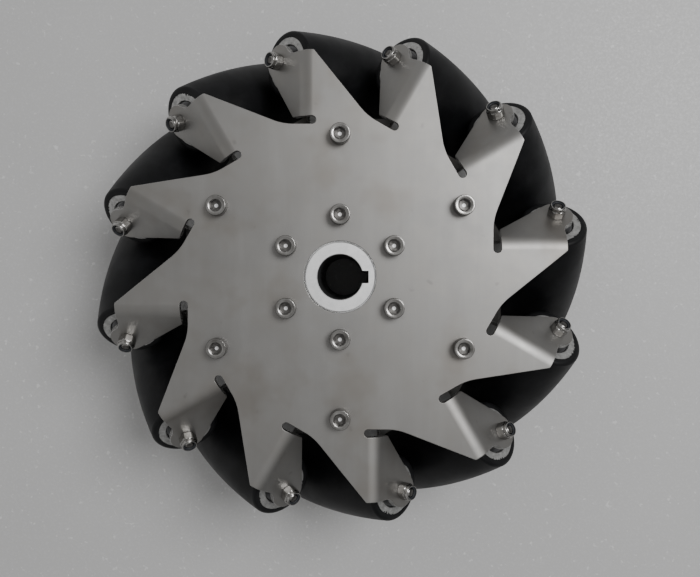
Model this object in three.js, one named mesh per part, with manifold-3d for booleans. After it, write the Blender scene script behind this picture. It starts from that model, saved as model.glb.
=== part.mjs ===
// A mecanum wheel: twelve barrel rollers at 45 degrees between two bent sheet-steel side plates, which
// are bolted to a keyed hub. Millimetres. The wheel lies flat: its spin axis is Z, and its front face is
// up. The origin is the wheel's centre.
//
// Each station is drawn at twelve o'clock, seen from the front, with its front tab on the left. It is then
// turned about Z to its place, clockwise. "Along the axle" is measured from the roller's middle, towards
// the front tab.
import * as THREE from "three";
import { mergeVertices } from "three/addons/utils/BufferGeometryUtils.js";
import Module from "manifold-3d";

const wasm = await Module();
wasm.setup();

// ---- driving dimensions ----
const WHEEL_RADIUS = 127;
const STATIONS = 12;
const ROLLER_TILT = Math.PI / 4; // between a roller's axle and the wheel's axis

const ROLLER_RADIUS = 19.5; // at the middle of the barrel
const ROLLER_HALF = 38.5; // half the roller's length
const CONTACT_HALF = 34; // ground contact reaches this far along the axle
const TYRE_END_RADIUS = 14.8; // where the tyre's rounded shoulder meets its flat end
const TYRE_BORE = 13.4; // inside of the moulded rubber
const CORE_BORE = 8; // inside of the metal core, between its bearing seats
const BEARING_RADIUS = 9.5; // 635 bearing, 5 mm inside and 19 mm outside
const BEARING_WIDTH = 6;

const SHEET = 3; // side plate thickness
const BEND_INSIDE = 7; // inside radius of a bent tab
const PLATE_FACE = 45; // outer face of a side plate, from the wheel's middle
const TAB_OUTER = 44; // outer face of a tab, along the axle
const SLOT_WIDTH = 4; // relief slot under each tab
const SLOT_LOW = 74; // the slot's lower edge, from the wheel's axis
const SLOT_END = -11.6; // x of the slot's round end
const SHOULDER = 109.8; // the tab's top edge, from the wheel's axis
const SHOULDER_CORNER = -12.7; // x where that edge meets the slanted edge
const SLANT = THREE.MathUtils.degToRad(-51.1); // direction of the slanted edge
const NOTCH_EASE = 5; // length of curve where the slanted edge runs into the next slot
const TAB_FOOT = 8.6; // along the tab, from the bend line to the foot of its free edge
const TAB_TIP_RADIUS = 8.5; // round end of a tab, round its axle hole
const TAB_NECK = 11; // along the tab, where the top edge leaves the round end

const PLATE_HOLE = 17.5;
const NOSE_RADIUS = 16.8;
const NOSE_PROUD = 0.3;
const BORE_RADIUS = 11;
const BORE_CHAMFER = 0.3;
const KEY_WIDTH = 6;
const KEY_DEPTH = 13.8; // from the wheel's axis to the bottom of the keyway
const FLANGE_RADIUS = 38;
const FLANGE_WIDTH = 10;
const BARREL_RADIUS = 25;

const HUB_SCREW_CIRCLE = 30; // radius
const OUTER_SCREW_CIRCLE = 68.5; // radius
const SCREWS_PER_CIRCLE = 6;
const SPACER_RADIUS = 6;

// A cap screw and its lock nut, with the radius of its clearance hole.
const M5 = { shank: 2.5, head: 4.25, headHeight: 5, nutFlats: 8, nutHeight: 6.3, hole: 2.8 };
const M6 = { shank: 3, head: 5, headHeight: 6, nutFlats: 10, nutHeight: 6, hole: 3.4 };
const REST_GAP = 0.3; // between pieces that touch on the real wheel

const FACETS = { roller: 16, core: 12, screw: 8, hub: 24 }; // round each kind of circle
const SEGMENTS = { bend: 1, tabTip: 3, plateEdge: 2 }; // in each curve, and twice as many in each arc

const MERGE_TOLERANCE = 1e-4;

// ---- derived dimensions ----
const AXLE_CIRCLE = WHEEL_RADIUS - ROLLER_RADIUS;
const BEND_OUTSIDE = BEND_INSIDE + SHEET;
const BEND_LINE = PLATE_FACE - TAB_OUTER / Math.cos(ROLLER_TILT); // x where the two outer faces would meet
const BEND_START = BEND_LINE + BEND_OUTSIDE * Math.tan(ROLLER_TILT / 2);
const AXLE_ALONG_TAB = PLATE_FACE / Math.cos(ROLLER_TILT) - TAB_OUTER;
const SLOT_HIGH = SLOT_LOW + SLOT_WIDTH;
const INNER_FACE = PLATE_FACE - SHEET - REST_GAP; // what stands between the plates ends here
const STATION_TURN = (-2 * Math.PI) / STATIONS;

// ---- materials ----
const metal = (color, roughness) => new THREE.MeshStandardMaterial({ color, roughness, metalness: 1 });
const MATERIALS = {
  plate: metal(0xa9a6a1, 0.45),
  hub: metal(0xd2d3d4, 0.35),
  spacer: metal(0xb9bbbd, 0.45),
  screw: metal(0x9f9c97, 0.25),
  core: metal(0xb9b9b6, 0.5),
  rubber: new THREE.MeshStandardMaterial({ color: 0x16171a, roughness: 0.6, metalness: 0 }),
};

// ---- helpers ----
function solidOf(geometry) {
  const bare = geometry.clone();
  bare.deleteAttribute("normal");
  bare.deleteAttribute("uv");
  const merged = mergeVertices(bare, MERGE_TOLERANCE);
  return new wasm.Manifold(
    new wasm.Mesh({
      numProp: 3,
      vertProperties: merged.attributes.position.array,
      triVerts: new Uint32Array(merged.index.array),
    }),
  );
}

function geometryOf(solid) {
  const mesh = solid.getMesh();
  return new THREE.BufferGeometry()
    .setAttribute("position", new THREE.BufferAttribute(mesh.vertProperties, 3))
    .setIndex(new THREE.BufferAttribute(mesh.triVerts, 1));
}

// A profile of [radius, z] points turned about Z. It runs counter-clockwise with the radius to the right.
function turned(profile, facets) {
  const points = profile.map(([radius, z]) => new THREE.Vector2(radius, z));
  return new THREE.LatheGeometry(points, facets).rotateX(Math.PI / 2);
}

// A ring whose half profile, given from its outside at z = 0 up to its inside, is repeated below.
function symmetricRing(upperHalf, facets) {
  const lowerHalf = upperHalf.map(([radius, z]) => [radius, -z]).reverse();
  const profile = [...upperHalf, ...lowerHalf];
  return turned([...profile, profile[0]], facets);
}

// A round bar along Z.
function bar(radius, low, high, facets) {
  return new THREE.CylinderGeometry(radius, radius, high - low, facets)
    .rotateX(Math.PI / 2)
    .translate(0, 0, (low + high) / 2);
}

function extruded(shape, low, high, curveSegments) {
  return new THREE.ExtrudeGeometry(shape, { depth: high - low, bevelEnabled: false, curveSegments })
    .translate(0, 0, low);
}

// The centres of a circle of screws, the first at twelve o'clock.
function screwCircle(radius) {
  return Array.from({ length: SCREWS_PER_CIRCLE }, (_, i) => {
    const angle = Math.PI / 2 - (i * 2 * Math.PI) / SCREWS_PER_CIRCLE;
    return [radius * Math.cos(angle), radius * Math.sin(angle)];
  });
}

function drilled(solid, centres) {
  const drill = solidOf(bar(M6.hole, -PLATE_FACE - SHEET, PLATE_FACE + SHEET, FACETS.screw));
  return centres.reduce((left, [x, y]) => left.subtract(drill.translate([x, y, 0])), solid);
}

const numbered = (name, i) => name + "_" + String(i + 1).padStart(2, "0");

function add(parent, name, geometry, material) {
  const mesh = new THREE.Mesh(geometry, material);
  mesh.name = name;
  parent.add(mesh);
  return mesh;
}

// ---- side plates ----
// Angle, at a circle's centre, of the point where a line from outside touches it. Side is 1 or -1.
function tangentAngle([x, y], [centreX, centreY], radius, side) {
  const dx = x - centreX;
  const dy = y - centreY;
  return Math.atan2(dy, dx) + side * Math.acos(radius / Math.hypot(dx, dy));
}

// A tab's outline in its own plane: x along the tab from the bend line, y away from the wheel's axis.
function tabOutline() {
  const behindBend = -16;
  const foot = [TAB_FOOT, SLOT_HIGH];
  const neck = [TAB_NECK, SHOULDER];
  const hole = [AXLE_ALONG_TAB, AXLE_CIRCLE];
  const shape = new THREE.Shape();
  shape.moveTo(behindBend, SLOT_HIGH);
  shape.lineTo(...foot);
  shape.absarc(
    ...hole,
    TAB_TIP_RADIUS,
    tangentAngle(foot, hole, TAB_TIP_RADIUS, 1),
    tangentAngle(neck, hole, TAB_TIP_RADIUS, -1),
    false,
  );
  shape.lineTo(...neck);
  shape.lineTo(behindBend, SHOULDER);
  return shape;
}

// The sheet's section across the bend, in x and z: a stub of flat plate, the bend and the sloping tab.
function bendSection() {
  const stub = 1;
  const reach = 60;
  const square = Math.PI / 2;
  const tabNormal = square + ROLLER_TILT;
  const centre = [BEND_START, PLATE_FACE - BEND_OUTSIDE];
  const end = (radius) => [
    centre[0] + radius * Math.cos(tabNormal) - reach * Math.cos(ROLLER_TILT),
    centre[1] + radius * Math.sin(tabNormal) - reach * Math.sin(ROLLER_TILT),
  ];
  const shape = new THREE.Shape();
  shape.moveTo(BEND_START + stub, PLATE_FACE - SHEET);
  shape.lineTo(BEND_START + stub, PLATE_FACE);
  shape.absarc(...centre, BEND_OUTSIDE, square, tabNormal, false);
  shape.lineTo(...end(BEND_OUTSIDE));
  shape.lineTo(...end(BEND_INSIDE));
  shape.absarc(...centre, BEND_INSIDE, tabNormal, square, true);
  return shape;
}

function tabSolid() {
  const strip = extruded(bendSection(), -WHEEL_RADIUS, 0, SEGMENTS.bend).rotateX(Math.PI / 2);
  const outline = extruded(tabOutline(), -PLATE_FACE, PLATE_FACE, SEGMENTS.tabTip)
    .rotateY(Math.PI - ROLLER_TILT)
    .translate(BEND_LINE, 0, PLATE_FACE);
  const hole = bar(M5.hole, TAB_OUTER - 2 * SHEET, TAB_OUTER + SHEET, FACETS.screw)
    .rotateY(-ROLLER_TILT)
    .translate(0, AXLE_CIRCLE, 0);
  return solidOf(strip).intersect(solidOf(outline)).subtract(solidOf(hole));
}

// The flat part of a plate, drawn clockwise, station by station: slot, bend, top corner, slanted edge.
function plateOutline() {
  const axis = new THREE.Vector2();
  const slotCentre = new THREE.Vector2(SLOT_END - SLOT_WIDTH / 2, SLOT_LOW + SLOT_WIDTH / 2);
  const slotFoot = new THREE.Vector2(slotCentre.x, SLOT_LOW);
  const corner = new THREE.Vector2(SHOULDER_CORNER, SHOULDER);
  const slant = new THREE.Vector2(Math.cos(SLANT), Math.sin(SLANT));
  // The slanted edge would meet the lower edge of the next station's slot at a knee.
  const nextFoot = slotFoot.clone().rotateAround(axis, STATION_TURN);
  const nextEdge = new THREE.Vector2(1, 0).rotateAround(axis, STATION_TURN);
  const slantLength = nextFoot.clone().sub(corner).cross(nextEdge) / slant.cross(nextEdge);
  const knee = corner.clone().addScaledVector(slant, slantLength);
  const easeFrom = knee.clone().addScaledVector(slant, -NOTCH_EASE);
  const easeTo = knee.clone().addScaledVector(nextEdge, NOTCH_EASE);
  const shape = new THREE.Shape();
  shape.moveTo(slotFoot.x, slotFoot.y);
  for (let i = 0; i < STATIONS; i++) {
    const turn = i * STATION_TURN;
    const at = (point) => point.clone().rotateAround(axis, turn).toArray();
    shape.absarc(...at(slotCentre), SLOT_WIDTH / 2, turn - Math.PI / 2, turn + Math.PI / 2, false);
    shape.lineTo(...at(new THREE.Vector2(BEND_START, SLOT_HIGH)));
    shape.lineTo(...at(new THREE.Vector2(BEND_START, SHOULDER)));
    shape.lineTo(...at(corner));
    shape.lineTo(...at(easeFrom));
    shape.quadraticCurveTo(...at(knee), ...at(easeTo));
  }
  return shape;
}

function plateSolid() {
  const tab = tabSolid();
  let plate = solidOf(extruded(plateOutline(), PLATE_FACE - SHEET, PLATE_FACE, SEGMENTS.plateEdge));
  for (let i = 0; i < STATIONS; i++) {
    plate = plate.add(tab.rotate([0, 0, THREE.MathUtils.radToDeg(i * STATION_TURN)]));
  }
  const centreHole = solidOf(bar(PLATE_HOLE, 0, PLATE_FACE + SHEET, FACETS.hub));
  const screws = [...screwCircle(HUB_SCREW_CIRCLE), ...screwCircle(OUTER_SCREW_CIRCLE)];
  return drilled(plate.subtract(centreHole), screws);
}

// Each plate is one sheet of steel. It is drawn as two halves with a hairline gap between them, above and
// below the X axis, which passes between the screws, the slots and the tabs. The rear plate is the front
// one turned over about the twelve o'clock line.
function addPlates(wheel) {
  const plate = plateSolid();
  const side = 2 * WHEEL_RADIUS;
  for (const [half, sign] of [["upper", 1], ["lower", -1]]) {
    const block = new THREE.BoxGeometry(side, side, side).translate(0, (sign * (side + REST_GAP)) / 2, 0);
    const sheet = geometryOf(plate.intersect(solidOf(block)));
    add(wheel, "front_side_plate_" + half, sheet, MATERIALS.plate);
    add(wheel, "rear_side_plate_" + half, sheet, MATERIALS.plate).rotation.y = Math.PI;
  }
}

// ---- hub ----
function addHub(wheel) {
  const end = PLATE_FACE + NOSE_PROUD;
  const blank = symmetricRing(
    [
      [BARREL_RADIUS, INNER_FACE - FLANGE_WIDTH],
      [FLANGE_RADIUS, INNER_FACE - FLANGE_WIDTH],
      [FLANGE_RADIUS, INNER_FACE],
      [NOSE_RADIUS, INNER_FACE],
      [NOSE_RADIUS, end],
      [BORE_RADIUS + BORE_CHAMFER, end],
      [BORE_RADIUS, end - BORE_CHAMFER],
    ],
    FACETS.hub,
  );
  const keyway = new THREE.BoxGeometry(KEY_DEPTH, KEY_WIDTH, 3 * end).translate(KEY_DEPTH / 2, 0, 0);
  const keyed = solidOf(blank).subtract(solidOf(keyway));
  add(wheel, "hub", geometryOf(drilled(keyed, screwCircle(HUB_SCREW_CIRCLE))), MATERIALS.hub);
}

// ---- screws and spacers ----
// A cap screw along Z with its lock nut. It clamps what lies within clampedHalf of its middle, and its
// head is at the +Z end.
function screwGeometry(size, clampedHalf) {
  const headEnd = clampedHalf + size.headHeight;
  const nutEnd = clampedHalf + size.nutHeight;
  const seat = clampedHalf + REST_GAP;
  const screw = turned(
    [
      [0, -nutEnd],
      [size.shank, -nutEnd],
      [size.shank, seat],
      [size.head, seat],
      [size.head, headEnd],
      [0, headEnd],
    ],
    FACETS.screw,
  );
  const nut = bar(size.nutFlats / Math.sqrt(3), -nutEnd + REST_GAP, -seat, 6);
  return geometryOf(solidOf(screw).add(solidOf(nut)));
}

function addScrews(wheel) {
  const screw = screwGeometry(M6, PLATE_FACE);
  const spacer = symmetricRing(
    [
      [SPACER_RADIUS, INNER_FACE],
      [M6.hole, INNER_FACE],
    ],
    FACETS.screw,
  );
  screwCircle(HUB_SCREW_CIRCLE).forEach(([x, y], i) => {
    add(wheel, numbered("hub_screw", i), screw, MATERIALS.screw).position.set(x, y, 0);
  });
  screwCircle(OUTER_SCREW_CIRCLE).forEach(([x, y], i) => {
    add(wheel, numbered("outer_screw", i), screw, MATERIALS.screw).position.set(x, y, 0);
    add(wheel, numbered("spacer_tube", i), spacer, MATERIALS.spacer).position.set(x, y, 0);
  });
}

// ---- rollers ----
// The barrel touches the wheel's cylinder all along a line tilted to the wheel's axis. This is its point,
// [radius, distance along the axle], for the ground contact at s along the axle.
function barrelPoint(s) {
  const sideways = s * Math.sin(ROLLER_TILT);
  const fromAxis = Math.hypot(AXLE_CIRCLE, sideways);
  const reach = WHEEL_RADIUS - fromAxis;
  const lean = (sideways * Math.sin(ROLLER_TILT)) / fromAxis;
  return [reach * Math.sqrt(1 - lean * lean), s + reach * lean];
}

function tyreGeometry() {
  const steps = 2; // from the middle to the end of the contact
  const barrel = Array.from({ length: steps }, (_, i) => barrelPoint((CONTACT_HALF * (i + 1)) / steps));
  const middle = [ROLLER_RADIUS, 0];
  const upper = [...barrel, [TYRE_END_RADIUS, ROLLER_HALF], [TYRE_BORE, ROLLER_HALF]];
  const lower = upper.map(([radius, z]) => [radius, -z]).reverse();
  return turned([middle, ...upper, ...lower, middle], FACETS.roller);
}

function coreGeometry() {
  const seat = ROLLER_HALF - BEARING_WIDTH - REST_GAP;
  return symmetricRing(
    [
      [TYRE_BORE - REST_GAP, ROLLER_HALF],
      [BEARING_RADIUS + REST_GAP, ROLLER_HALF],
      [BEARING_RADIUS + REST_GAP, seat],
      [CORE_BORE, seat],
    ],
    FACETS.core,
  );
}

// A roller's axle screw has its lock nut at the front tab and its head at the rear one.
function addRollers(wheel) {
  const tyre = tyreGeometry();
  const core = coreGeometry();
  const axle = screwGeometry(M5, TAB_OUTER);
  for (let i = 0; i < STATIONS; i++) {
    const station = new THREE.Group();
    station.rotation.z = i * STATION_TURN;
    wheel.add(station);
    const roller = new THREE.Group();
    roller.position.y = AXLE_CIRCLE;
    roller.rotation.y = -ROLLER_TILT;
    station.add(roller);
    add(roller, numbered("roller_tyre", i), tyre, MATERIALS.rubber);
    add(roller, numbered("roller_core", i), core, MATERIALS.core);
    add(roller, numbered("axle_screw", i), axle, MATERIALS.screw).rotation.x = Math.PI;
  }
}

const wheel = new THREE.Group();
addPlates(wheel);
addHub(wheel);
addScrews(wheel);
addRollers(wheel);

export default wheel;
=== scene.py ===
"""The looks of a mecanum wheel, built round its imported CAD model. It lies flat on a pale floor.

Shapes are drawn in millimetres and scaled to metres when they become meshes. As in the CAD model, each
station is drawn at twelve o'clock, with its front tab on the left, and turned clockwise to its place.
"""

import math
import random

import bmesh
import bpy
from mathutils import Matrix, Vector, noise


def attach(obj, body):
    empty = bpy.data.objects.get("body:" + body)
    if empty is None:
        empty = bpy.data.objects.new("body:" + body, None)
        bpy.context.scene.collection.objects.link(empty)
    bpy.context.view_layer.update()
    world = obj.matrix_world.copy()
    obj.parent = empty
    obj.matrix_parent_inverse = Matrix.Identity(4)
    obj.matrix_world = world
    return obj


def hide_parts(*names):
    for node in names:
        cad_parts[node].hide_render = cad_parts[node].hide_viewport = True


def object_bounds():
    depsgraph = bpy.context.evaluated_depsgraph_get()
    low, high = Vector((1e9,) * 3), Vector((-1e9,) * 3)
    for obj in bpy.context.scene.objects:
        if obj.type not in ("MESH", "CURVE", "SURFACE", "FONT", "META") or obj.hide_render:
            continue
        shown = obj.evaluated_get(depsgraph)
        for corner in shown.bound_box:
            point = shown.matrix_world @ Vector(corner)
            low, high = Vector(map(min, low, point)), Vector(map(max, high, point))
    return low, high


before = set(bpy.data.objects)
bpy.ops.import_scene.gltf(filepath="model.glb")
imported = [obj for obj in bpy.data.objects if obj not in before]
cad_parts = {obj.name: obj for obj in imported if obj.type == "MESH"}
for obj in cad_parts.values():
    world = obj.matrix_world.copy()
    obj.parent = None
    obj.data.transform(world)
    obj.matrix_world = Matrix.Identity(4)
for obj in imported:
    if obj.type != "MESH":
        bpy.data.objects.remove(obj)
CAD_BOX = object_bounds()

# ---- sizes, in millimetres ----
MM = 0.001
WHEEL_RADIUS = 127
STATIONS = 12
TILT = math.radians(45)  # between a roller's axle and the wheel's axis
STEP = math.radians(-360 / STATIONS)

SHEET = 3
BEND_INSIDE = 7
BEND_MIDDLE = BEND_INSIDE + SHEET / 2
BEND_OUTSIDE = BEND_INSIDE + SHEET
PLATE_FACE = 45
TAB_OUTER = 44  # along the axle, from the roller's middle
SLOT_WIDTH = 4
SLOT_LOW = 74
SLOT_HIGH = SLOT_LOW + SLOT_WIDTH
SLOT_END = -11.6
SHOULDER = 109.8
SHOULDER_CORNER = -12.7
SLANT = math.radians(-51.1)
TAB_FOOT = 8.6
TAB_TIP_RADIUS = 8.5
TAB_NECK = 11
CUT_EDGE = 0.22  # rounding of the sheet's cut edges

NOSE_RADIUS = 16.8
NOSE_END = 45.3
PLATE_HOLE = 17.5
BORE_RADIUS = 11
BORE_CHAMFER = 0.3
KEY_WIDTH = 6
KEY_DEPTH = 13.8
FLANGE_RADIUS = 38
FLANGE_WIDTH = 10
FLANGE_FACE = PLATE_FACE - SHEET
BARREL_RADIUS = 25

HUB_CIRCLE = 30
OUTER_CIRCLE = 68.5
SCREWS = 6
SPACER_RADIUS = 6
# A cap screw, its clearance hole and its lock nut, whose collar holds a nylon ring.
M5 = {"shank": 2.5, "hole": 2.8, "head": 4.25, "head_height": 5, "socket": 4, "mark": 0.75,
      "flats": 8, "hex_height": 4.4, "nut_height": 6.3, "collar": 3.85, "lip": 3.2}
M6 = {"shank": 3, "hole": 3.4, "head": 5, "head_height": 6, "socket": 5, "mark": 0.9,
      "flats": 10, "hex_height": 4.3, "nut_height": 6, "collar": 4.3, "lip": 3.6}

ROLLER_RADIUS = 19.5
ROLLER_HALF = 38.5
CONTACT_HALF = 34
CORE_RADIUS = 13.4
CORE_FACE = ROLLER_HALF - 0.1
BEARING_RADIUS = 9.5
BEARING_WIDTH = 6
BEARING_FACE = CORE_FACE - 0.9
SLEEVE_RADIUS = 4.6  # outside of a bearing's inner race and of a spacer washer
AXLE_CIRCLE = WHEEL_RADIUS - ROLLER_RADIUS

BEND_LINE = PLATE_FACE - TAB_OUTER / math.cos(TILT)
BEND_TANGENT = BEND_OUTSIDE * math.tan(TILT / 2)
BEND_START = BEND_LINE + BEND_TANGENT
BEND_ARC = BEND_MIDDLE * TILT
AXLE_ALONG_TAB = PLATE_FACE / math.cos(TILT) - TAB_OUTER

ROUND = 96  # vertices round a turned piece


# ---- camera ----
def add_camera():
    place = Vector((9.4, 0.4, 411.6)) * MM
    aim = Vector((4.2, -6.3, 0)) * MM
    data = bpy.data.cameras.new("camera")
    data.sensor_width = 36
    data.lens = 39
    data.clip_start = 0.01
    camera = bpy.data.objects.new("camera", data)
    camera.rotation_mode = "QUATERNION"
    camera.rotation_quaternion = Vector((0, 0, -1)).rotation_difference(aim - place)
    camera.location = place
    bpy.context.scene.collection.objects.link(camera)
    bpy.context.scene.camera = camera


# ---- stage and lights ----
def add_area_light(name, place, aim, size, energy):
    data = bpy.data.lights.new(name, "AREA")
    data.shape = "DISK"
    data.size = size
    data.energy = energy
    light = bpy.data.objects.new(name, data)
    light.location = place
    light.rotation_euler = (Vector(aim) - Vector(place)).to_track_quat("-Z", "Y").to_euler()
    bpy.context.scene.collection.objects.link(light)


def add_lights():
    add_area_light("key", (0.56, 0.34, 1.1), (0, 0, 0), 0.65, 8.6)
    add_room()


def add_room():
    """A room with walls light on the left and dark on the right, and a ceiling brighter on the right."""
    world = bpy.data.worlds.new("room")
    world.use_nodes = True
    tree = world.node_tree
    bpy.context.scene.world = world

    def math_node(operation, *values):
        made = tree.nodes.new("ShaderNodeMath")
        made.operation = operation
        for socket, value in zip(made.inputs, values):
            if isinstance(value, (int, float)):
                socket.default_value = value
            else:
                tree.links.new(value, socket)
        return made.outputs[0]

    def towards(x, y, z):
        """How near the looked-at direction is to this one, from -1 to 1."""
        made = tree.nodes.new("ShaderNodeVectorMath")
        made.operation = "DOT_PRODUCT"
        tree.links.new(direction, made.inputs[0])
        made.inputs[1].default_value = Vector((x, y, z)).normalized()
        return made.outputs["Value"]

    def ramp(value, start, end, low, high):
        made = tree.nodes.new("ShaderNodeMapRange")
        made.interpolation_type = "SMOOTHSTEP"
        tree.links.new(value, made.inputs["Value"])
        for socket, number in zip(("From Min", "From Max", "To Min", "To Max"), (start, end, low, high)):
            made.inputs[socket].default_value = number
        return made.outputs["Result"]

    direction = tree.nodes.new("ShaderNodeTexCoord").outputs["Generated"]
    height = ramp(towards(0, 0, 1), 0.2, 0.8, 0, 1)
    walls = ramp(towards(-1, 0.2, 0), -0.6, 0.9, 0.05, 0.5)
    ceiling = ramp(towards(1, 0.3, 0), -0.9, 0.9, 0.33, 0.42)
    overhead = ramp(towards(-0.22, -0.12, 1), 0.9, 0.99, 1, 0.75)
    above = math_node("MULTIPLY", math_node("MULTIPLY", ceiling, overhead), height)
    below = math_node("MULTIPLY", walls, math_node("SUBTRACT", 1, height))
    bright = math_node("ADD", above, below)
    background = tree.nodes["Background"]
    background.inputs["Color"].default_value = (1, 0.995, 0.985, 1)
    tree.links.new(bright, background.inputs["Strength"])


def add_floor(material):
    half = 20  # metres
    mesh = bpy.data.meshes.new("floor")
    corners = [(-half, -half), (half, -half), (half, half), (-half, half)]
    mesh.from_pydata([(x, y, CAD_BOX[0][2]) for x, y in corners], [], [(0, 1, 2, 3)])
    mesh.materials.append(material)
    floor = bpy.data.objects.new("floor", mesh)
    bpy.context.scene.collection.objects.link(floor)


# ---- materials ----
class Nodes:
    """A material's node tree, with short calls for the nodes used here."""

    def __init__(self, name, **sockets):
        self.material = bpy.data.materials.new(name)
        self.material.use_nodes = True
        self.tree = self.material.node_tree
        self.shader = self.tree.nodes["Principled BSDF"]
        self.place = self.tree.nodes.new("ShaderNodeTexCoord").outputs["Object"]
        for socket, value in sockets.items():
            self.shader.inputs[socket.replace("_", " ")].default_value = value

    def node(self, kind, links=None, **values):
        made = self.tree.nodes.new(kind)
        for name, value in values.items():
            made.inputs[name.replace("_", " ")].default_value = value
        for name, source in (links or {}).items():
            self.tree.links.new(source, made.inputs[name])
        return made

    def stretched(self, x, y, z):
        return self.node("ShaderNodeMapping", {"Vector": self.place}, Scale=(x, y, z)).outputs["Vector"]

    def noise(self, scale, detail=3, roughness=0.5, place=None):
        values = {"Scale": scale, "Detail": detail, "Roughness": roughness}
        return self.node("ShaderNodeTexNoise", {"Vector": place or self.place}, **values).outputs["Fac"]

    def spread(self, source, low, high, start=0.3, end=0.7):
        """Maps source, where it goes from start to end, to a number from low to high."""
        made = self.node("ShaderNodeMapRange", {"Value": source})
        for socket, value in (("From Min", start), ("From Max", end), ("To Min", low), ("To Max", high)):
            made.inputs[socket].default_value = value
        return made.outputs["Result"]

    def blend(self, source, first, second):
        made = self.node("ShaderNodeMix")
        made.data_type = "RGBA"
        self.tree.links.new(source, made.inputs["Factor"])
        for socket, colour in ((6, first), (7, second)):
            if isinstance(colour, tuple):
                made.inputs[socket].default_value = (*colour, 1)
            else:
                self.tree.links.new(colour, made.inputs[socket])
        return made.outputs[2]

    def bump(self, height, strength, distance, under=None):
        made = self.node("ShaderNodeBump", {"Height": height}, Strength=strength, Distance=distance)
        if under:
            self.tree.links.new(under, made.inputs["Normal"])
        return made.outputs["Normal"]

    def finish(self, **sockets):
        for socket, source in sockets.items():
            self.tree.links.new(source, self.shader.inputs[socket.replace("_", " ")])
        return self.material


def plate_steel():
    m = Nodes("plate_steel", Metallic=1)
    clouds = m.noise(22, 4, 0.6)
    mottle = m.noise(55, 5, 0.7)
    streaks = m.noise(90, 4, 0.6, m.stretched(1, 0.1, 1))
    stains = m.noise(32, 3, 0.55)
    smudges = m.noise(130, 2, 0.4)
    grain = m.noise(2600, 2)
    tone = m.blend(m.spread(clouds, 0, 1), (0.33, 0.325, 0.317), (0.37, 0.362, 0.35))
    tone = m.blend(m.spread(mottle, 0, 0.45, 0.45, 0.7), tone, (0.38, 0.363, 0.338))
    tone = m.blend(m.spread(streaks, 0, 0.4, 0.45, 0.75), tone, (0.42, 0.417, 0.41))
    tone = m.blend(m.spread(stains, 0, 0.6, 0.52, 0.68), tone, (0.3, 0.28, 0.256))
    tone = m.blend(m.spread(smudges, 0, 0.5, 0.72, 0.8), tone, (0.2, 0.195, 0.19))
    rough = m.spread(mottle, 0.5, 0.42)
    return m.finish(Base_Color=tone, Roughness=rough, Normal=m.bump(grain, 0.12, 0.0001))


def cut_steel():
    """The sheared edge of the sheet, smoother and brighter than its faces."""
    m = Nodes("cut_steel", Metallic=1)
    shear = m.noise(500, 3, 0.6, m.stretched(1, 1, 0.2))
    tone = m.blend(m.spread(shear, 0, 1), (0.5, 0.49, 0.48), (0.85, 0.85, 0.84))
    return m.finish(Base_Color=tone, Roughness=m.spread(shear, 0.36, 0.22))


def machined_steel():
    m = Nodes("machined_steel", Metallic=1)
    scratches = m.noise(400, 3, 0.6, m.stretched(1, 0.06, 1))
    crossed = m.noise(400, 3, 0.6, m.stretched(0.06, 1, 1))
    blotches = m.noise(260, 4, 0.65)
    tone = m.blend(m.spread(blotches, 0, 1, 0.35, 0.6), (0.88, 0.885, 0.89), (1, 1, 1))
    normal = m.bump(crossed, 0.15, 0.0001, m.bump(scratches, 0.2, 0.0001))
    return m.finish(Base_Color=tone, Roughness=m.spread(blotches, 0.56, 0.48), Normal=normal)


def bore_shade_steel():
    """The wall of the bore and its keyway, with turning marks, painted darker than the hub's faces as the
    shade inside the bore.
    """
    m = Nodes("bore_shade_steel", Metallic=1)
    turning = m.noise(900, 2, 0.5, m.stretched(0.02, 0.02, 1))
    tone = m.blend(m.spread(turning, 0, 1), (0.16, 0.16, 0.165), (0.26, 0.26, 0.265))
    rough = m.spread(turning, 0.55, 0.42)
    return m.finish(Base_Color=tone, Roughness=rough, Normal=m.bump(turning, 0.2, 0.0001))


def fastener_steel():
    m = Nodes("fastener_steel", Metallic=1)
    stains = m.noise(260, 4, 0.6)
    tone = m.blend(m.spread(stains, 0, 1), (0.26, 0.252, 0.24), (0.6, 0.59, 0.575))
    normal = m.bump(m.noise(1500, 3), 0.15, 0.0001)
    return m.finish(Base_Color=tone, Roughness=m.spread(stains, 0.26, 0.16), Normal=normal)


def painted_shade_steel():
    """Steel painted dark as shade: inside a screw's socket, round the knurled rim of its head, and on its
    sawn end, sunk in the nut.
    """
    m = Nodes("painted_shade_steel", Metallic=1)
    oil = m.noise(700, 3, 0.6)
    tone = m.blend(m.spread(oil, 0, 1), (0.1, 0.096, 0.092), (0.22, 0.213, 0.205))
    return m.finish(Base_Color=tone, Roughness=m.spread(oil, 0.3, 0.42))


def nylon():
    m = Nodes("nylon")
    tone = m.blend(m.noise(900, 3), (0.02, 0.022, 0.026), (0.045, 0.048, 0.055))
    return m.finish(Base_Color=tone, Roughness=m.spread(m.noise(500), 0.4, 0.6))


def core_metal():
    m = Nodes("core_metal", Metallic=0.85)
    mottle = m.noise(420, 5, 0.65)
    tone = m.blend(m.spread(mottle, 0, 1), (0.36, 0.36, 0.355), (0.66, 0.66, 0.65))
    rough = m.spread(mottle, 0.55, 0.45)
    return m.finish(Base_Color=tone, Roughness=rough, Normal=m.bump(mottle, 0.15, 0.0001))


def rubber():
    m = Nodes("rubber", Specular_IOR_Level=0.28)
    dust = m.noise(70, 5, 0.7)
    tone = m.blend(m.spread(dust, 0, 1, 0.45, 0.8), (0.004, 0.0042, 0.005), (0.013, 0.0134, 0.015))
    rough = m.spread(m.noise(45, 4, 0.6), 0.42, 0.58)
    return m.finish(Base_Color=tone, Roughness=rough, Normal=m.bump(m.noise(1800, 3), 0.12, 0.0002))


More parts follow.
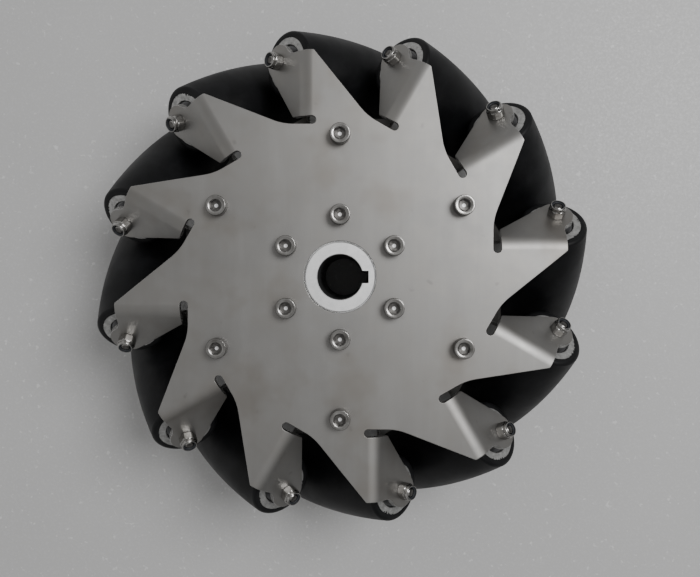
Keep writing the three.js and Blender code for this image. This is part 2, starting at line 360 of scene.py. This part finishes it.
def bearing_steel():
    m = Nodes("bearing_steel", Metallic=1)
    tone = m.blend(m.noise(300, 3), (0.14, 0.14, 0.145), (0.24, 0.24, 0.245))
    return m.finish(Base_Color=tone, Roughness=m.spread(m.noise(500), 0.28, 0.4))


def spacer_metal():
    m = Nodes("spacer_metal", Metallic=1)
    turning = m.noise(1200, 2, 0.5, m.stretched(0.02, 0.02, 1))
    tone = m.blend(m.noise(120, 4), (0.6, 0.61, 0.62), (0.74, 0.75, 0.76))
    rough = m.spread(turning, 0.3, 0.45)
    return m.finish(Base_Color=tone, Roughness=rough, Normal=m.bump(turning, 0.2, 0.0001))


def floor_paint():
    m = Nodes("floor_paint")
    specks = m.noise(700, 2, 0.5)
    sparse = m.noise(320, 2, 0.5)
    tone = m.blend(m.noise(9, 4, 0.6), (0.64, 0.64, 0.64), (0.68, 0.68, 0.68))
    tone = m.blend(m.spread(specks, 0, 0.5, 0.5, 0.8), tone, (0.78, 0.78, 0.79))
    tone = m.blend(m.spread(sparse, 0, 0.8, 0.66, 0.74), tone, (0.88, 0.88, 0.88))
    rough = m.spread(specks, 0.55, 0.4)
    return m.finish(Base_Color=tone, Roughness=rough, Normal=m.bump(specks, 0.2, 0.0003))


# ---- mesh helpers ----
def ring(radius, z, count=ROUND):
    """A closed row of points round Z. The radius is a number, or a function of the angle."""
    size = radius if callable(radius) else lambda angle: radius
    angles = [2 * math.pi * i / count for i in range(count)]
    return [(size(a) * math.cos(a), size(a) * math.sin(a), z) for a in angles]


def arc(centre, radius, start, end, steps):
    """Points of an arc, the first and last included, counter-clockwise when the end angle is larger."""
    angles = [start + (end - start) * i / steps for i in range(steps + 1)]
    return [(centre[0] + radius * math.cos(a), centre[1] + radius * math.sin(a)) for a in angles]


def smoothed(mesh, sharp_degrees):
    mesh.shade_smooth()
    mesh.set_sharp_from_angle(angle=math.radians(sharp_degrees))
    return mesh


def loft(name, rings, closed=False, sharp_degrees=35):
    """A surface through rings of equal count. A ring of one point closes the end that it is at."""
    vertices = [Vector(point) * MM for row in rings for point in row]
    starts = [sum(len(row) for row in rings[:i]) for i in range(len(rings))]
    count = max(len(row) for row in rings)
    pairs = list(zip(range(len(rings) - 1), range(1, len(rings))))
    if closed:
        pairs.append((len(rings) - 1, 0))
    faces = []
    for low, high in pairs:
        for i in range(count):
            j = (i + 1) % count
            a, b = starts[low], starts[high]
            if len(rings[low]) == 1:
                faces.append((a, b + j, b + i))
            elif len(rings[high]) == 1:
                faces.append((a + i, a + j, b))
            else:
                faces.append((a + i, a + j, b + j, b + i))
    mesh = bpy.data.meshes.new(name)
    mesh.from_pydata(vertices, [], faces)
    shape = bmesh.new()
    shape.from_mesh(mesh)
    bmesh.ops.recalc_face_normals(shape, faces=shape.faces)
    shape.to_mesh(mesh)
    shape.free()
    return smoothed(mesh, sharp_degrees)


def turned(name, profile, closed=False, count=ROUND, sharp_degrees=35):
    """A profile of (radius, z) turned round Z. A radius of 0 is a point on the axis."""
    rings = [[(0, 0, z)] if radius == 0 else ring(radius, z, count) for radius, z in profile]
    return loft(name, rings, closed, sharp_degrees)


def eased(profile, radius, steps=3):
    """A closed profile with its corners rounded."""
    points = [Vector(p) for p in profile]
    result = []
    for i, corner in enumerate(points):
        result += fillet(points[i - 1], corner, points[(i + 1) % len(points)], radius, steps)
    return result


def fillet(before, corner, after, radius, steps):
    """The arc of that radius that replaces a corner between two straight lines."""
    before, corner, after = Vector(before), Vector(corner), Vector(after)
    back = (before - corner).normalized()
    ahead = (after - corner).normalized()
    half = back.angle(ahead) / 2
    setback = radius / math.tan(half)
    centre = corner + (back + ahead).normalized() * radius / math.sin(half)
    start = corner + back * setback - centre
    end = corner + ahead * setback - centre
    total = start.angle_signed(end)
    turns = [start.copy() for _ in range(steps + 1)]
    for i, arm in enumerate(turns):
        arm.rotate(Matrix.Rotation(-total * i / steps, 2))
    return [tuple(centre + arm) for arm in turns]


def hexagon(flats, corner_round=0.3):
    """The radius of a hexagon as a function of the angle, a little rounded at the corners."""
    corner = flats / math.sqrt(3) - corner_round

    def radius(angle):
        within = (angle + math.pi / 6) % (math.pi / 3) - math.pi / 6
        return min(flats / 2 / math.cos(math.pi / 6 - abs(within)), corner + 0.1 * corner_round)

    return radius


def smaller(first, second):
    """The lesser of two radii, each a number or a function of the angle."""
    one = first if callable(first) else lambda angle: first
    two = second if callable(second) else lambda angle: second
    return lambda angle: min(one(angle), two(angle))


def piece(name, mesh, materials, body, slot, replaces=(), matrix=None):
    """A copy of the mesh as an object that rides on a body. Its place is in its mesh, as a CAD node's is."""
    placed = mesh.copy()
    placed.transform(matrix or Matrix())
    for material in materials:
        placed.materials.append(material)
    made = bpy.data.objects.new(name, placed)
    bpy.context.scene.collection.objects.link(made)
    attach(made, body)
    if replaces:
        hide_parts(*replaces)
    return made


def paint(mesh, index, test):
    """Gives a material index to the faces whose centre passes the test, in millimetres."""
    for face in mesh.polygons:
        if test(face.center / MM):
            face.material_index = index


def turn(angle):
    return Matrix.Rotation(angle, 4, "Z")


def shift(x=0, y=0, z=0):
    return Matrix.Translation(Vector((x, y, z)) * MM)


FLIP = Matrix.Rotation(math.pi, 4, "X")


# ---- side plates ----
def flat_x(along_tab):
    """Where a point on the tab lies before the sheet is bent."""
    return BEND_START - BEND_ARC - (along_tab - BEND_TANGENT)


def tangent_angle(point, centre, radius, side):
    dx, dy = point[0] - centre[0], point[1] - centre[1]
    return math.atan2(dy, dx) + side * math.acos(radius / math.hypot(dx, dy))


def tab_tip():
    """The round end of the unbent tab, from its free edge to its neck."""
    hole = (AXLE_ALONG_TAB, AXLE_CIRCLE)
    start = tangent_angle((TAB_FOOT, SLOT_HIGH), hole, TAB_TIP_RADIUS, 1)
    end = tangent_angle((TAB_NECK, SHOULDER), hole, TAB_TIP_RADIUS, -1)
    start -= 2 * math.pi if start > end else 0
    return [(flat_x(u), v) for u, v in arc(hole, TAB_TIP_RADIUS, start, end, 28)]


def rotated(point, angle):
    turned_point = Vector((point[0], point[1]))
    turned_point.rotate(Matrix.Rotation(angle, 2))
    return tuple(turned_point)


def flat_outline():
    """The unbent sheet's edge, clockwise, station by station."""
    slot_x = SLOT_END - SLOT_WIDTH / 2
    slot_mouth = (slot_x, SLOT_LOW)
    corner = (SHOULDER_CORNER, SHOULDER)
    next_mouth = Vector(rotated(slot_mouth, STEP))
    next_edge = Vector(rotated((1, 0), STEP))
    slant = Vector((math.cos(SLANT), math.sin(SLANT)))
    reach = (next_mouth - Vector(corner)).cross(next_edge) / slant.cross(next_edge)
    knee = Vector(corner) + slant * reach
    tip = tab_tip()
    foot = (flat_x(TAB_FOOT), SLOT_HIGH)
    neck = (flat_x(TAB_NECK), SHOULDER)
    station = arc((slot_x, SLOT_LOW + SLOT_WIDTH / 2), SLOT_WIDTH / 2, -math.pi / 2, math.pi / 2, 16)
    station += fillet(station[-1], foot, tip[0], 0.8, 4)
    station += tip
    station += fillet(tip[-1], neck, corner, 6, 5)
    station += fillet(neck, corner, knee, 1.2, 6)
    station += fillet(corner, knee, next_mouth, 27, 10)
    return [rotated(point, i * STEP) for i in range(STATIONS) for point in station]


def circle_of_screws(radius):
    angles = [math.pi / 2 + i * 2 * STEP for i in range(SCREWS)]
    return [(radius * math.cos(a), radius * math.sin(a)) for a in angles]


def sheet_holes():
    full = 2 * math.pi
    centres = [(centre, M6) for centre in circle_of_screws(HUB_CIRCLE) + circle_of_screws(OUTER_CIRCLE)]
    axle = (flat_x(AXLE_ALONG_TAB), AXLE_CIRCLE)
    centres += [(rotated(axle, i * STEP), M5) for i in range(STATIONS)]
    holes = [arc(centre, size["hole"], 0, full, 40)[:-1] for centre, size in centres]
    return holes + [arc((0, 0), PLATE_HOLE, 0, full, ROUND)[:-1]]


def flat_sheet():
    """The unbent plate as a mesh in millimetres, its cut edges rounded, its middle at Z = 0."""
    curve = bpy.data.curves.new("sheet", "CURVE")
    curve.dimensions = "2D"
    curve.fill_mode = "BOTH"
    curve.extrude = SHEET / 2 - CUT_EDGE
    curve.bevel_depth = CUT_EDGE
    curve.bevel_resolution = 2
    curve.offset = -CUT_EDGE
    for outline in [flat_outline(), *sheet_holes()]:
        spline = curve.splines.new("POLY")
        spline.points.add(len(outline) - 1)
        spline.use_cyclic_u = True
        for point, (x, y) in zip(spline.points, outline):
            point.co = (x, y, 0, 1)
    holder = bpy.data.objects.new("sheet", curve)
    mesh = bpy.data.meshes.new_from_object(holder)
    bpy.data.objects.remove(holder)
    return mesh


def on_tab(point):
    """Whether a point of the unbent sheet, at twelve o'clock, belongs to that station's tab."""
    clear_of_neighbour = point.y - SLOT_LOW > 0.5 * (SLOT_END - 4 * SLOT_WIDTH - point.x)
    return point.x < BEND_START + 0.001 and point.y > SLOT_HIGH - 0.5 and clear_of_neighbour


def bent(point):
    """Where a point of the unbent tab goes."""
    run = BEND_START - point.x
    angle = min(run / BEND_MIDDLE, TILT)
    beyond = max(run - BEND_ARC, 0)
    radius = BEND_MIDDLE + point.z
    return Vector((
        BEND_START - radius * math.sin(angle) - beyond * math.cos(TILT),
        point.y,
        PLATE_FACE - BEND_OUTSIDE + radius * math.cos(angle) - beyond * math.sin(TILT),
    ))


def plate_mesh():
    bend_steps = 12
    shape = bmesh.new()
    shape.from_mesh(flat_sheet())
    bmesh.ops.remove_doubles(shape, verts=shape.verts, dist=0.004)
    for face in shape.faces:
        face.normal_update()
        face.material_index = int(abs(face.normal.z) < 0.95)  # 1 on the cut edges
    lifted = set()
    for i in range(STATIONS):
        back = Matrix.Rotation(-i * STEP, 3, "Z")
        there = Matrix.Rotation(i * STEP, 3, "Z")
        for k in range(bend_steps + 1):
            faces = [f for f in shape.faces if any(on_tab(back @ v.co) for v in f.verts)]
            edges = list({e for f in faces for e in f.edges})
            corners = list({v for f in faces for v in f.verts})
            near = faces + edges + corners
            place = there @ Vector((BEND_START - BEND_ARC * k / bend_steps, 0, 0))
            across = there @ Vector((1, 0, 0))
            bmesh.ops.bisect_plane(shape, geom=near, dist=0.0005, plane_co=place, plane_no=across)
        for v in shape.verts:
            if on_tab(back @ v.co):
                v.co = there @ bent(back @ v.co)
                lifted.add(v)
    for v in shape.verts:
        if v not in lifted:
            v.co.z += PLATE_FACE - SHEET / 2
    bmesh.ops.recalc_face_normals(shape, faces=shape.faces)
    bmesh.ops.scale(shape, vec=(MM, MM, MM), verts=shape.verts)
    mesh = bpy.data.meshes.new("side_plate")
    shape.to_mesh(mesh)
    shape.free()
    return smoothed(mesh, 50)


def add_plates(steel, edge):
    """Each plate is one sheet, and stands for the two CAD nodes that hold its upper and lower half."""
    mesh = plate_mesh()
    for name, matrix in (("front", Matrix()), ("rear", Matrix.Rotation(math.pi, 4, "Y"))):
        halves = [f"{name}_side_plate_{half}" for half in ("upper", "lower")]
        made = piece(name + "_plate_sheet", mesh, [steel, edge], "wheel_frame", "plate", halves, matrix)
        weigh = made.modifiers.new("weighted normals", "WEIGHTED_NORMAL")
        weigh.keep_sharp = True


# ---- hub ----
def cut(mesh, cutters):
    """The mesh less the volumes of the cutters, which are objects and are used up."""
    target = loose("target", mesh)
    for cutter in cutters:
        step = target.modifiers.new("cut", "BOOLEAN")
        step.object = cutter
        step.solver = "EXACT"
    evaluated = target.evaluated_get(bpy.context.evaluated_depsgraph_get())
    result = bpy.data.meshes.new_from_object(evaluated)
    for used in (target, *cutters):
        bpy.data.objects.remove(used)
    return result


def loose(name, mesh, matrix=None):
    made = bpy.data.objects.new(name, mesh)
    bpy.context.scene.collection.objects.link(made)
    made.matrix_world = matrix or Matrix()
    return made


def box_mesh(low, high):
    shape = bmesh.new()
    bmesh.ops.create_cube(shape, size=1)
    for v in shape.verts:
        v.co = Vector([(a + b) / 2 + c * (b - a) for a, b, c in zip(low, high, v.co)]) * MM
    mesh = bpy.data.meshes.new("box")
    shape.to_mesh(mesh)
    shape.free()
    return mesh


def add_hub(steel, bore_shade):
    upper = [
        (BARREL_RADIUS, 0),
        (BARREL_RADIUS, FLANGE_FACE - FLANGE_WIDTH - 1.5),
        (BARREL_RADIUS + 1.5, FLANGE_FACE - FLANGE_WIDTH),
        (FLANGE_RADIUS - 0.5, FLANGE_FACE - FLANGE_WIDTH),
        (FLANGE_RADIUS, FLANGE_FACE - FLANGE_WIDTH + 0.5),
        (FLANGE_RADIUS, FLANGE_FACE - 0.5),
        (FLANGE_RADIUS - 0.5, FLANGE_FACE),
        (NOSE_RADIUS, FLANGE_FACE),
        (NOSE_RADIUS, NOSE_END - 0.25),
        (NOSE_RADIUS - 0.25, NOSE_END),
        (BORE_RADIUS + BORE_CHAMFER, NOSE_END),
        (BORE_RADIUS, NOSE_END - BORE_CHAMFER),
    ]
    lower = [(radius, -z) for radius, z in reversed(upper[1:])]
    blank = turned("hub_body", upper + lower, closed=True)
    reach = 2 * PLATE_FACE
    half = KEY_WIDTH / 2
    cutters = [loose("keyway", box_mesh((0, -half, -reach), (KEY_DEPTH, half, reach)))]
    drill_profile = [(0, -reach), (M6["hole"], -reach), (M6["hole"], reach), (0, reach)]
    for x, y in circle_of_screws(HUB_CIRCLE):
        drill = turned("drill", drill_profile, count=32)
        cutters.append(loose("drill", drill, shift(x, y)))
    mesh = smoothed(cut(blank, cutters), 30)
    # Painted shade: the bore's wall and keyway take the dark steel.
    paint(mesh, 1, lambda c: math.hypot(c.x, c.y) < KEY_DEPTH + 0.1 and abs(c.z) < NOSE_END - BORE_CHAMFER)
    piece("hub_body", mesh, [steel, bore_shade], "wheel_frame", "hub", ["hub"])


# ---- screws, nuts and spacers ----
def head_rings(size):
    """A socket head standing on Z = 0: knurled side, rounded rim, hexagonal socket with a centre mark."""
    teeth = 32
    side = size["head"]
    top = size["head_height"]
    knurl = lambda angle: side - 0.07 + 0.07 * math.cos(teeth * angle)
    socket = hexagon(size["socket"], 0.05)
    mouth = 0.62 * size["socket"]
    bottom = top - 2.8
    rim = 0.35
    rings = [ring(size["shank"], 0), ring(side - 0.35, 0), ring(side - 0.1, 0.25)]
    rings += [ring(knurl, 0.5 + (top - 1.3) * i / 4) for i in range(5)]
    rings += [ring(side - 0.05, top - 0.6)]
    rings += [ring(r, z) for r, z in arc((side - 0.07 - rim, top - rim), rim, 0.2, math.pi / 2, 4)]
    rings += [ring(mouth + 0.3, top), ring(mouth, top - 0.15)]
    rings += [ring(socket, top - 0.45), ring(socket, bottom)]
    rings += [ring(1.5 * size["mark"], bottom - 0.1), ring(size["mark"], bottom - 0.15)]
    return rings + [[(0, 0, bottom - 0.3)]]


def cap_screw_mesh(name, size, clamped_half):
    """A cap screw along Z, its head at the top, round the middle of what it clamps."""
    end = clamped_half + size["nut_height"] - 0.55
    shank = size["shank"]
    thread = 20
    pitch = 1
    cycles = 6  # samples in one pitch
    steps = thread * cycles // pitch

    def crest(z):
        return lambda angle: shank - 0.3 * abs((2 * (z / pitch - angle / (2 * math.pi))) % 2 - 1)

    rings = [[(0, 0, -end)], ring(shank - 0.8, -end, 24), ring(shank - 0.5, -end + 0.3, 24)]
    rings += [ring(crest(z), z, 24) for z in [-end + 0.6 + i * pitch / cycles for i in range(steps)]]
    rings += [ring(shank, -end + thread + 1.5, 24), ring(shank, clamped_half, 24)]
    body = loft(name, rings, sharp_degrees=60)
    top = [[(x, y, z + clamped_half) for x, y, z in row] for row in head_rings(size)]
    mesh = joined(name, [loft(name + "_head", top), body])
    # Painted shade: the socket round its centre mark, and the knurled rim of the head, take the dark steel.
    painted_shade_bands = ((size["mark"], size["socket"] / 2 + 0.45), (size["head"] - 0.3, size["head"]))
    for inside, outside in painted_shade_bands:
        paint(mesh, 1, lambda c: c.z > clamped_half + 0.3 and inside < math.hypot(c.x, c.y) < outside)
    # Painted shade: the screw's end, sunk in the nut, takes the dark steel.
    paint(mesh, 1, lambda c: c.z < -end + 0.01)
    # Painted highlight: the centre mark takes the hub's bright steel.
    paint(mesh, 2, lambda c: c.z > clamped_half and math.hypot(c.x, c.y) < size["mark"])
    return mesh


def joined(name, meshes):
    shape = bmesh.new()
    for mesh in meshes:
        shape.from_mesh(mesh)
    mesh = bpy.data.meshes.new(name)
    shape.to_mesh(mesh)
    shape.free()
    return mesh


def lock_nut_mesh(size):
    """A lock nut standing on Z = 0: a chamfered hexagon, then a round collar over a nylon ring."""
    half = size["flats"] / 2
    flats = hexagon(size["flats"])
    hex_top = size["hex_height"]
    top = size["nut_height"]
    collar = size["collar"]
    lip = size["lip"]
    bore = size["shank"] + 0.02
    round_over = 0.45
    rings = [ring(bore, 0.3), ring(bore + 0.4, 0), ring(half - 0.15, 0)]
    rings += [ring(smaller(flats, r), z) for r, z in ((half + 0.25, 0.3), (half + 0.6, 0.62))]
    rings += [ring(flats, 0.9), ring(flats, hex_top - 0.95)]
    chamfer = ((half + 0.55, 0.62), (half + 0.2, 0.28), (half - 0.15, 0))
    rings += [ring(smaller(flats, r), hex_top - down) for r, down in chamfer]
    rings += [ring(collar - 0.25, hex_top + 0.02), ring(collar - 0.3, hex_top + 0.3)]
    rings += [ring(collar, hex_top + 0.55), ring(collar, top - round_over - 0.05)]
    edge = (collar - round_over, top - round_over - 0.05)
    rings += [ring(r, z) for r, z in arc(edge, round_over, 0.15, math.pi / 2, 5)]
    rings += [ring(lip, top - 0.08), ring(lip - 0.02, top - 0.6)]
    rings += [ring(bore + 0.1, top - 0.62), ring(bore - 0.05, top - 0.8), ring(bore - 0.05, hex_top)]
    mesh = loft("lock_nut", rings, closed=True)
    paint(mesh, 1, lambda c: math.hypot(c.x, c.y) < lip and c.z > hex_top)
    return mesh


def spacer_tube_mesh():
    profile = [
        (M6["hole"], -FLANGE_FACE),
        (SPACER_RADIUS, -FLANGE_FACE),
        (SPACER_RADIUS, FLANGE_FACE),
        (M6["hole"], FLANGE_FACE),
    ]
    return turned("spacer_tube", eased(profile, 0.3), closed=True, count=48)


def add_clamp_screws(metals, plastic, spacer):
    screw = cap_screw_mesh("clamp_screw", M6, PLATE_FACE)
    nut = lock_nut_mesh(M6)
    tube = spacer_tube_mesh()
    for kind, radius in (("hub", HUB_CIRCLE), ("outer", OUTER_CIRCLE)):
        for i, (x, y) in enumerate(circle_of_screws(radius), 1):
            name = f"{kind}_screw_{i:02d}"
            place = shift(x, y)
            spin = turn(random.uniform(0, math.pi))
            piece(name + "_cap", screw, metals, "wheel_frame", "fastener", [name], place @ spin)
            under = place @ shift(z=-PLATE_FACE) @ FLIP @ turn(random.uniform(0, math.pi))
            piece(name + "_nut", nut, [metals[0], plastic], "wheel_frame", "fastener", (), under)
    for i, (x, y) in enumerate(circle_of_screws(OUTER_CIRCLE), 1):
        number = f"{i:02d}"
        stands_for = ["spacer_tube_" + number]
        piece("outer_spacer_" + number, tube, [spacer], "wheel_frame", "spacer", stands_for, shift(x, y))


# ---- rollers ----
def barrel_point(s):
    """(radius, distance along the axle) of the barrel where it touches the wheel's cylinder."""
    sideways = s * math.sin(TILT)
    from_axis = math.hypot(AXLE_CIRCLE, sideways)
    reach = WHEEL_RADIUS - from_axis
    lean = sideways * math.sin(TILT) / from_axis
    return reach * math.sqrt(1 - lean * lean), s + reach * lean


def tyre_mesh(name, seed):
    """The moulded rubber, with a thin ragged flash left over the rim of the core at each end."""
    steps = 16
    count = 192
    half_barrel = [barrel_point(CONTACT_HALF * i / steps) for i in range(steps + 1)]
    end_radius, end_along = half_barrel[-1]
    shoulder_round = ROLLER_HALF - end_along
    shoulder = arc((end_radius - shoulder_round, end_along), shoulder_round, 0.15, math.pi / 2, 8)
    side = [(r, z) for r, z in half_barrel[1:]] + shoulder + [(CORE_RADIUS + 0.3, ROLLER_HALF)]

    def flash(end):
        def radius(angle):
            place = Vector((3 * math.cos(angle), 3 * math.sin(angle), seed * 7 + end * 3))
            coarse = max(0, noise.noise(place * 0.6))
            fine = max(0, noise.noise(place * 6) + 0.1)
            return CORE_RADIUS - 0.3 * coarse - (0.15 + 3 * coarse) * fine

        return radius

    half = [(CORE_RADIUS, CORE_FACE), (flash(1), CORE_FACE + 0.02), (flash(1), ROLLER_HALF - 0.02)]
    half += reversed(side)
    other = side + [(flash(-1), ROLLER_HALF - 0.02), (flash(-1), CORE_FACE + 0.02), (CORE_RADIUS, CORE_FACE)]
    rings = [ring(r, z, count) for r, z in half + [(ROLLER_RADIUS, 0)]]
    rings += [ring(r, -z, count) for r, z in other]
    return loft(name, rings, closed=True, sharp_degrees=50)


def core_mesh():
    seat = BEARING_FACE - BEARING_WIDTH
    wall = BEARING_RADIUS + 0.02
    upper = [
        (CORE_RADIUS - 0.02, 0),
        (CORE_RADIUS - 0.02, CORE_FACE - 0.2),
        (CORE_RADIUS - 0.2, CORE_FACE),
        (wall + 0.35, CORE_FACE),
        (wall, CORE_FACE - 0.35),
        (wall, seat),
        (BEARING_RADIUS - 1.5, seat),
    ]
    lower = [(radius, -z) for radius, z in reversed(upper[1:])]
    return turned("roller_core", upper + lower, closed=True)


def bearing_outer_mesh():
    """The outer race and its two shields. The face is at Z = 0, the bearing below it."""
    race = 8.1  # inside of the race
    shield = 7.9  # where a shield's inner face meets the race
    hole = 4.9  # in each shield
    sunk = 0.35  # from the race's end to a shield
    inner = 0.6  # from the race's end to the shield's inner face
    ease = 0.4
    profile = [
        (BEARING_RADIUS - ease, 0),
        (BEARING_RADIUS, -ease),
        (BEARING_RADIUS, -BEARING_WIDTH + ease),
        (BEARING_RADIUS - ease, -BEARING_WIDTH),
        (race, -BEARING_WIDTH),
        (race - 0.1, -BEARING_WIDTH + sunk),
        (hole, -BEARING_WIDTH + sunk),
        (hole, -BEARING_WIDTH + inner),
        (shield, -BEARING_WIDTH + inner),
        (shield, -inner),
        (hole, -inner),
        (hole, -sunk),
        (race - 0.1, -sunk),
        (race, 0),
    ]
    return turned("bearing_outer", profile, closed=True)


def bearing_inner_mesh():
    bore = M5["shank"] + 0.02
    profile = [(bore, 0), (SLEEVE_RADIUS, 0), (SLEEVE_RADIUS, -BEARING_WIDTH), (bore, -BEARING_WIDTH)]
    return turned("bearing_inner", eased(profile, 0.25), closed=True, count=64)


def spacer_washer_mesh():
    length = TAB_OUTER - SHEET - BEARING_FACE
    bore = M5["shank"] + 0.1
    profile = [(bore, 0), (SLEEVE_RADIUS, 0), (SLEEVE_RADIUS, length), (bore, length)]
    return turned("spacer_washer", eased(profile, 0.2), closed=True, count=64)


def add_rollers(looks, metals):
    core = core_mesh()
    outer_race = bearing_outer_mesh()
    inner_race = bearing_inner_mesh()
    washer = spacer_washer_mesh()
    nut = lock_nut_mesh(M5)
    screw = cap_screw_mesh("axle_screw", M5, TAB_OUTER)
    for i in range(STATIONS):
        number = f"{i + 1:02d}"
        body = "roller_" + number
        axle = turn(i * STEP) @ shift(y=AXLE_CIRCLE) @ Matrix.Rotation(-TILT, 4, "Y")
        tyre = tyre_mesh("tyre_" + number, i)
        roll = axle @ turn(random.uniform(0, 2 * math.pi))
        piece("rubber_tyre_" + number, tyre, [looks["rubber"]], body, "tyre", ["roller_tyre_" + number], axle)
        piece("metal_core_" + number, core, [looks["core"]], body, "core", ["roller_core_" + number], roll)
        fixed = ("wheel_frame", "fastener")
        spin = axle @ FLIP @ turn(random.uniform(0, math.pi))
        piece("axle_cap_screw_" + number, screw, metals, *fixed, ["axle_screw_" + number], spin)
        seat = axle @ shift(z=TAB_OUTER) @ turn(random.uniform(0, math.pi))
        piece("axle_lock_nut_" + number, nut, [looks["fastener"], looks["nylon"]], *fixed, (), seat)
        for end, side in (("front", axle), ("rear", axle @ FLIP)):
            face = side @ shift(z=BEARING_FACE)
            tag = f"{end}_{number}"
            piece("bearing_outer_" + tag, outer_race, [looks["bearing"]], body, "fastener", (), face)
            piece("bearing_inner_" + tag, inner_race, [looks["bearing"]], *fixed, (), face)
            piece("spacer_washer_" + tag, washer, [looks["bearing"]], *fixed, (), face)


def main():
    random.seed(12)
    add_camera()
    add_lights()
    add_floor(floor_paint())
    looks = {
        "plate": plate_steel(),
        "edge": cut_steel(),
        "hub": machined_steel(),
        "bore_shade": bore_shade_steel(),
        "fastener": fastener_steel(),
        # Painted shade, for screw sockets, knurled rims and screw ends.
        "socket": painted_shade_steel(),
        "nylon": nylon(),
        "spacer": spacer_metal(),
        "core": core_metal(),
        "rubber": rubber(),
        "bearing": bearing_steel(),
    }
    add_plates(looks["plate"], looks["edge"])
    add_hub(looks["hub"], looks["bore_shade"])
    # The screws' steels: their own, a dark one for painted shade, and the hub's bright one for a painted
    # highlight.
    metals = [looks["fastener"], looks["socket"], looks["hub"]]
    add_clamp_screws(metals, looks["nylon"], looks["spacer"])
    add_rollers(looks, metals)


main()
